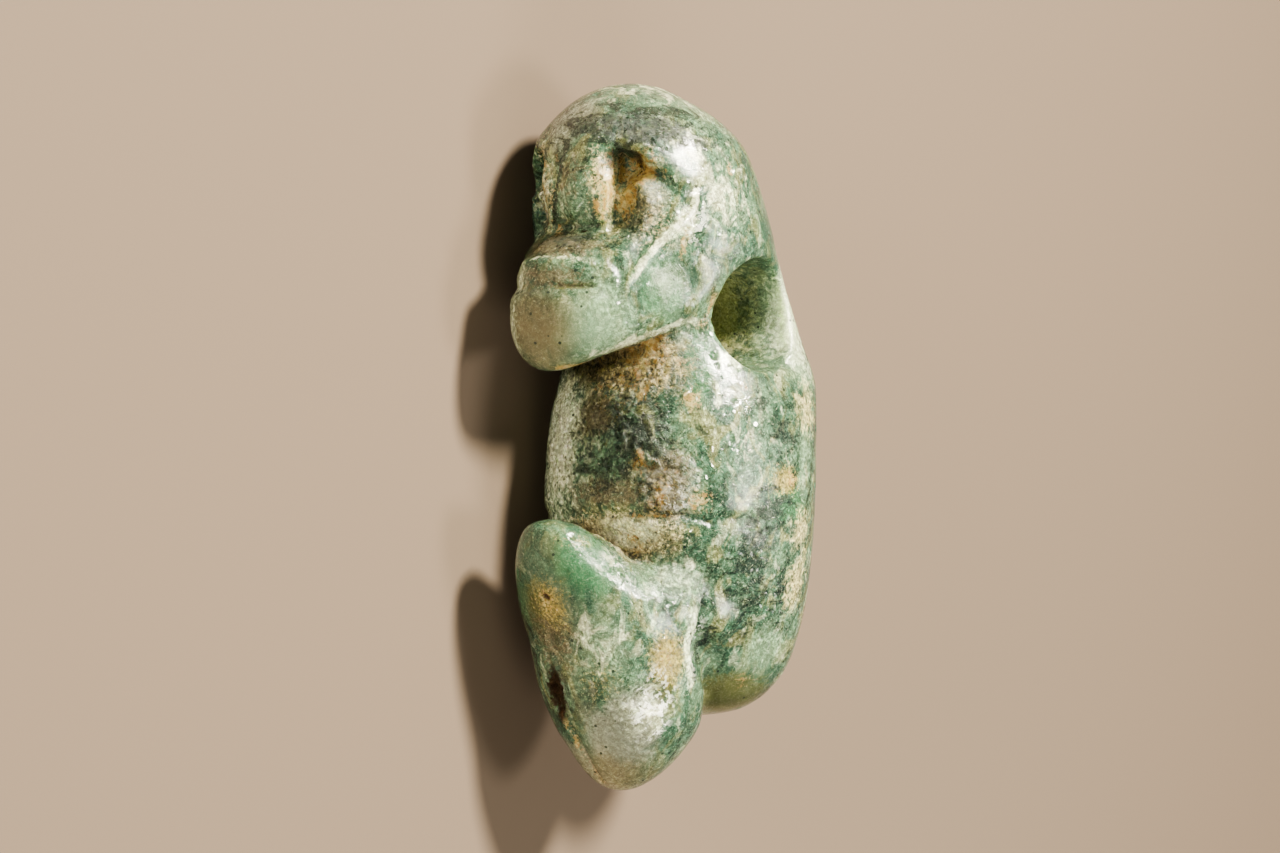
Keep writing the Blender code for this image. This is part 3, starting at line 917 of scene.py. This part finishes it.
# Each noise: how it is squeezed along x, y and z, scale, detail, roughness and warp.
# Squeezed below 1 along y it lies along the figure, and above 1 across it.
noises = {
    "cloud": ((1.0, 0.6, 1.0), 0.16, 5, 0.6, 0.8),
    "mottle": ((1.0, 0.6, 1.0), 0.42, 5, 0.6, 0.6),
    "straw": ((1.0, 0.6, 1.0), 0.3, 5, 0.6, 0.8),
    "patch": ((1.0, 1.0, 1.0), 0.8, 6, 0.7, 1.0),
    "bands": ((0.7, 1.5, 0.7), 0.45, 6, 0.65, 0.8),
    "fine": ((1.0, 1.0, 1.0), 2.2, 6, 0.75, 0.4),
}

# Mottles of the ground: colour, noise, and the ramp that picks them from it
mottles = (
    ("straw", "straw", (0.50, 0.62, 0.6)),
    ("deep", "mottle", (0.52, 0.62, 0.75)),
    ("pale", "mottle", (0.43, 0.35, 0.4)),
)

# How the broad colours, painted light among them, are laid over the ground: kind, noise, spread, edge, level,
# most
colourLayers = (
    ("emerald", "cloud", 0.6, 0.2, 0.45, 0.85),
    ("grey", "cloud", 0.6, 0.2, 0.45, 0.8),
    ("beige", "cloud", 0.5, 0.34, 0.45, 0.85),
    ("olive", "patch", 0.6, 0.2, 0.45, 0.9),
    ("mossAndPaintedGlow", "patch", 0.8, 0.3, 0.45, 0.9),
    ("foam", "cloud", 0.5, 0.36, 0.45, 0.85),
    ("clay", "patch", 0.9, 0.2, 0.45, 0.85),
    ("sand", "fine", 1.6, 0.2, 0.5, 0.9),
    ("mistAndPaintedLight", "patch", 0.7, 0.3, 0.5, 0.8),
    ("honey", "fine", 1.2, 0.25, 0.5, 0.85),
    ("pale", "mottle", 1.4, 0.24, 0.50, 0.85),
    ("dark", "bands", 1.6, 0.18, 0.52, 0.85),
    ("cream", "patch", 1.7, 0.45, 0.50, 0.8),
)

# Where the crystals turn light or dark: the ramp for each pattern, and the tones at its ends
tones = {"grain": (0.1, 0.9), "fibre": (0.36, 0.64), "patch": (0.38, 0.62), "fine": (0.38, 0.62)}
toneRange = (1.35, 0.7)

# Here and below, scales are repeats in a share, and ramps are given by their low and high ends,
# then by the amounts at high and at low where these aren't 1 and 0.
jade = {
    "crystalScale": 1.15,  # crystals a little under a share across
    "fibreScale": 4.6,  # fibres in each crystal
    "smallCrystals": 2,  # how many times finer the smaller crystals are
    "smallFibres": 1.6,  # and their fibres
    "cloud": (0.42, 0.62),
    "present": (0.02, 0.2),  # the least amounts at which a broad colour shows
    "clearing": 0.92,  # how much of the mottling goes where the stone is clear
    "toneMost": 0.8,
    "chipFibre": (0.56, 0.64),
    "chipFine": (0.50, 0.58),
    "chipMost": 0.6,
    "lineNoise": (5.0, 0.6, 0.6),  # detail, roughness and warp
    "fibreLines": {"Scale": 1.3, "Width": 0.018},
    "fibreMost": 0.2,
    "crackLines": {"Scale": 1.0, "Width": 0.012},
    "crackShift": (11, 5, 3),  # so that cracks don't follow the fibres
    "crackMost": 0.35,
    "fleckScale": 1.0,
    "fleckChance": (0.88, 0.91),
    "fleckSize": (0.26, 0.18),
    "fleckMost": 0.85,
}


def brokenGroup():
    # a broad amount broken up by a texture into a natural edge, up to the spread each way
    starts = {"Amount": 0.0, "Texture": 0.5, "Spread": 0.5, "Edge": 0.1, "Level": 0.42}
    tree, entry, leave = newGroup("brokenAmount", starts, "Mask")
    swing = times(tree, minus(tree, entry["Texture"], 0.5), entry["Spread"])
    shifted = mathNode(tree, "MULTIPLY_ADD", swing, 2.0, entry["Amount"])
    low = minus(tree, entry["Level"], entry["Edge"])
    high = plus(tree, entry["Level"], entry["Edge"])
    present = rampUp(tree, entry["Amount"], *jade["present"])
    tree.links.new(times(tree, rampUp(tree, shifted, low, high), present), leave)
    return tree


def hairlineGroup():
    # thin wandering lines, as of fibres and fine cracks
    starts = {"Place": None, "Scale": 1.0, "Width": 0.02}
    tree, entry, leave = newGroup("hairlines", starts, "Mask")
    wander = noiseAt(tree, entry["Place"], entry["Scale"], *jade["lineNoise"])
    gap = mathNode(tree, "ABSOLUTE", minus(tree, wander, 0.5))
    tree.links.new(rampUp(tree, gap, 0.0, entry["Width"], 0.0, 1.0), leave)
    return tree


def crystalGroup():
    # fibres that run their own way in each crystal
    starts = {"Place": None, "Crystals": 1.0, "Fibres": 4.0}
    tree, entry, leave = newGroup("crystalFibres", starts, "Tone")
    colour = cellsAt(tree, entry["Place"], entry["Crystals"])["Color"]
    way = vectorNode(tree, "NORMALIZE", vectorNode(tree, "SUBTRACT", colour, (0.5, 0.5, 0.5)))
    along = addNode(tree, "ShaderNodeVectorMath", {"operation": "DOT_PRODUCT"}, i0=entry["Place"], i1=way)
    inputs = {"W": along.outputs["Value"], "Scale": entry["Fibres"], "Detail": 2.0}
    strip = addNode(tree, "ShaderNodeTexNoise", {"noise_dimensions": "1D"}, **inputs)
    tree.links.new(strip.outputs["Fac"], leave)
    return tree


def brokenMask(tree, group, kind, texture, spread, edge, level):
    inputs = {"Texture": texture, "Spread": spread, "Edge": edge, "Level": level}
    return grouped(tree, group, Amount=amountOf(tree, kind), **inputs)


def stoneTextures(tree, place):
    # the patterns that colour and gloss share
    textures = {}
    for name, (squeeze, *settings) in noises.items():
        textures[name] = noiseAt(tree, vectorNode(tree, "MULTIPLY", place, squeeze), *settings)
    group = crystalGroup()
    crystals, fibres = jade["crystalScale"], jade["fibreScale"]
    smallCrystals, smallFibres = crystals * jade["smallCrystals"], fibres * jade["smallFibres"]
    coarse = grouped(tree, group, Place=place, Crystals=crystals, Fibres=fibres)
    small = grouped(tree, group, Place=place, Crystals=smallCrystals, Fibres=smallFibres)
    textures["fibre"] = times(tree, plus(tree, coarse, small), 0.5)
    textures["turn"] = cellsAt(tree, place, smallCrystals)["Color"]
    # three chances of its own for each small crystal
    textures["grain"], textures["chance"], textures["tint"] = channels(tree, textures["turn"])
    return textures


def groundColour(tree, textures, busy, broken):
    # green clouds, mottled except where the stone is clear, and the broad colours over them, painted light
    # among them
    cloud = rampUp(tree, textures["cloud"], *jade["cloud"])
    colour = mixColour(tree, cloud, palette["mid"], palette["light"])
    for kind, texture, ramp in mottles:
        mottle = times(tree, rampUp(tree, textures[texture], *ramp), busy)
        colour = mixColour(tree, mottle, colour, palette[kind])
    for kind, texture, spread, edge, level, most in colourLayers:
        mask = brokenMask(tree, broken, kind, textures[texture], spread, edge, level)
        colour = mixColour(tree, times(tree, mask, most), colour, palette[kind])
    return colour


def crystalColour(tree, place, textures, busy, colour):
    # the crystals' own tones, pale fibres, dark cracks and flecks
    parts = [rampUp(tree, textures[name], *ramp, *toneRange) for name, ramp in tones.items()]
    tone = times(tree, *parts)
    tone = addNode(tree, "ShaderNodeCombineColor", {}, Red=tone, Green=tone, Blue=tone).outputs[0]
    colour = mixColour(tree, times(tree, busy, jade["toneMost"]), colour, tone, "MULTIPLY")
    chipFibre = rampUp(tree, textures["fibre"], *jade["chipFibre"])
    chipFine = rampUp(tree, textures["fine"], *jade["chipFine"])
    chips = times(tree, chipFibre, chipFine, busy, jade["chipMost"])
    colour = mixColour(tree, chips, colour, palette["pale"])
    hairlines = hairlineGroup()
    fibres = grouped(tree, hairlines, Place=place, **jade["fibreLines"])
    colour = mixColour(tree, times(tree, fibres, jade["fibreMost"]), colour, palette["pale"])
    shifted = vectorNode(tree, "ADD", place, jade["crackShift"])
    cracks = grouped(tree, hairlines, Place=shifted, **jade["crackLines"])
    colour = mixColour(tree, times(tree, cracks, busy, jade["crackMost"]), colour, palette["deep"])
    flecks = cellsAt(tree, place, jade["fleckScale"])
    fleckChance = rampUp(tree, channels(tree, flecks["Color"])[1], *jade["fleckChance"])
    fleckSize = rampUp(tree, flecks["Distance"], *jade["fleckSize"])
    return mixColour(tree, times(tree, fleckChance, fleckSize, jade["fleckMost"]), colour, palette["dark"])


faces = {
    "shining": (0.2, 0.75),
    "wanderScale": 1.2,
    "wanderDetail": 3.0,
    "wander": 1.6,  # how far the edges of the faces wander
    "scale": 1.35,
    "fibreSwing": 1.4,
    # the ramp for the painted glints
    "paintedGlint": (0.70, 0.84, 0.9),
}


def crystalFaces(tree, place):
    # a colour of its own for each broken crystal face
    inputs = {"Vector": place, "Scale": faces["wanderScale"], "Detail": faces["wanderDetail"]}
    wander = addNode(tree, "ShaderNodeTexNoise", {}, **inputs).outputs["Color"]
    wander = vectorNode(tree, "SCALE", wander, scale=faces["wander"])
    return cellsAt(tree, vectorNode(tree, "ADD", place, wander), faces["scale"])["Color"]


def paintedFaceGlints(tree, textures, blades, shining, colour):
    # painted glints: broken crystal faces painted pale and sharp-edged, as where they catch the light
    swing = times(tree, minus(tree, textures["fibre"], 0.5), faces["fibreSwing"])
    chance = plus(tree, channels(tree, blades)[0], swing)
    paintedGlint = times(tree, rampUp(tree, chance, *faces["paintedGlint"]), shining)
    return mixColour(tree, paintedGlint, colour, palette["crystal"])


stains = {
    "fineAndMottle": (0.6, 0.4),  # their weights in the stains' edges
    "ochre": (2.2, 0.16, 0.55),  # spread, edge and level
    "ochreMost": 0.8,
    "rust": (0.46, 0.62),
    "cream": (0.55, 0.75, 0.7),
    "brown": (1.4, 0.12, 0.45),
    "brownMost": 0.95,
}


def stainColour(tree, textures, broken, colour):
    # stains in the hollows and pits, and where the ochre lies
    fineShare, mottleShare = stains["fineAndMottle"]
    fine = textures["fine"]
    stain = plus(tree, times(tree, fine, fineShare), times(tree, textures["mottle"], mottleShare))
    ochre = brokenMask(tree, broken, "ochre", stain, *stains["ochre"])
    tint = mixColour(tree, rampUp(tree, fine, *stains["rust"]), palette["ochre"], palette["rust"])
    tint = mixColour(tree, rampUp(tree, textures["tint"], *stains["cream"]), tint, palette["cream"])
    colour = mixColour(tree, times(tree, ochre, stains["ochreMost"]), colour, tint)
    brown = brokenMask(tree, broken, "brown", stain, *stains["brown"])
    return mixColour(tree, times(tree, brown, stains["brownMost"]), colour, palette["brown"]), ochre


finish = {
    "matt": 0.45,
    "polish": 0.20,
    "ochreDulls": 0.8,
    "glossSwing": 0.35,
    "leastRoughness": 0.08,
    "glintRough": 0.2,  # how much more often crystals glint where it is rough
    "glintShining": 0.3,  # and where crystal faces show
    "glint": (0.91, 1.04, 1.0, 0.03),
    "glintPolish": 0.6,
    "facePolish": 0.7,
    "faceRoughness": 0.16,
    "sparkle": 0.72,  # how far a glinting crystal leans
    "fineAndFibre": (0.6, 0.8),  # their weights in the surface's height
    "pitting": (0.0, 1.0, 2.4, 0.24),
    "bump": 0.00012,  # metres
    "subsurface": 0.7,
    "subsurfaceRadius": (0.8, 1.0, 0.6),
    "subsurfaceScale": 0.0022,  # metres
    "refraction": 1.66,
    "coat": 0.4,
    "coatRoughness": 0.12,
}


def glintsOf(tree, textures, rough, shining, busy):
    # the crystals that catch the light
    chance = plus(tree, textures["chance"], times(tree, rough, finish["glintRough"]))
    chance = plus(tree, chance, times(tree, shining, finish["glintShining"]))
    return times(tree, rampUp(tree, chance, *finish["glint"]), mathNode(tree, "MAXIMUM", busy, shining))


def roughnessOf(tree, textures, rough, ochre, glint, shining):
    # polish, dulled where rough and stained
    dull = mathNode(tree, "MAXIMUM", rough, times(tree, ochre, finish["ochreDulls"]))
    gloss = rampUp(tree, dull, 0.0, 1.0, finish["matt"], finish["polish"])
    gloss = plus(tree, gloss, times(tree, minus(tree, textures["fine"], 0.5), finish["glossSwing"]))
    gloss = mathNode(tree, "MAXIMUM", gloss, finish["leastRoughness"])
    gloss = times(tree, gloss, minus(tree, 1.0, times(tree, glint, finish["glintPolish"])))
    return mixValue(tree, times(tree, shining, finish["facePolish"]), gloss, finish["faceRoughness"])


def leaningNormal(tree, textures, rough, glint, blades, shining):
    # each crystal is turned a little its own way, and the surface is finely pitted
    leant = addNode(tree, "ShaderNodeNewGeometry").outputs["Normal"]
    for turn, amount in ((textures["turn"], times(tree, glint, finish["sparkle"])), (blades, shining)):
        lean = vectorNode(tree, "SUBTRACT", turn, (0.5, 0.5, 0.5))
        leant = vectorNode(tree, "ADD", leant, vectorNode(tree, "SCALE", lean, scale=amount))
    leant = vectorNode(tree, "NORMALIZE", leant)
    fineShare, fibreShare = finish["fineAndFibre"]
    height = plus(tree, times(tree, textures["fine"], fineShare), times(tree, textures["fibre"], fibreShare))
    height = times(tree, height, rampUp(tree, rough, *finish["pitting"]))
    inputs = {"Height": height, "Normal": leant, "Strength": 1.0, "Distance": finish["bump"]}
    return addNode(tree, "ShaderNodeBump", {}, **inputs).outputs[0]


def jadeMaterial():
    material = bpy.data.materials.new("jadeite")
    material.use_nodes = True
    tree = material.node_tree
    shader = tree.nodes["Principled BSDF"]
    world = addNode(tree, "ShaderNodeTexCoord").outputs["Object"]
    place = vectorNode(tree, "SCALE", world, scale=1 / share(1))
    textures = stoneTextures(tree, place)
    broken = brokenGroup()
    blades = crystalFaces(tree, place)
    rough = amountOf(tree, "rough")
    shining = rampUp(tree, amountOf(tree, "crystals"), *faces["shining"])
    busy = minus(tree, 1.0, times(tree, amountOf(tree, "clear"), jade["clearing"]))
    busy.node.use_clamp = True

    colour = groundColour(tree, textures, busy, broken)
    colour = crystalColour(tree, place, textures, busy, colour)
    colour = paintedFaceGlints(tree, textures, blades, shining, colour)
    colour, ochre = stainColour(tree, textures, broken, colour)
    tree.links.new(colour, shader.inputs["Base Color"])

    glint = glintsOf(tree, textures, rough, shining, busy)
    gloss = roughnessOf(tree, textures, rough, ochre, glint, shining)
    tree.links.new(gloss, shader.inputs["Roughness"])
    normal = leaningNormal(tree, textures, rough, glint, blades, shining)
    tree.links.new(normal, shader.inputs["Normal"])
    tree.links.new(normal, shader.inputs["Coat Normal"])

    shader.subsurface_method = "RANDOM_WALK"
    shader.inputs["Subsurface Weight"].default_value = finish["subsurface"]
    shader.inputs["Subsurface Radius"].default_value = finish["subsurfaceRadius"]
    shader.inputs["Subsurface Scale"].default_value = finish["subsurfaceScale"]
    shader.inputs["IOR"].default_value = finish["refraction"]
    shader.inputs["Coat Weight"].default_value = finish["coat"]
    shader.inputs["Coat Roughness"].default_value = finish["coatRoughness"]
    print("jadeite material of", len(tree.nodes), "nodes")
    return material


makeCamera()
makeStudio()
carved = fineCopy("figure")
carveDetail(carved)
wearSurface(carved)
thinOut(carved)
paintPlaces(carved)
carved.data.materials.clear()
carved.data.materials.append(jadeMaterial())
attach(carved, "root")
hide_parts("figure")
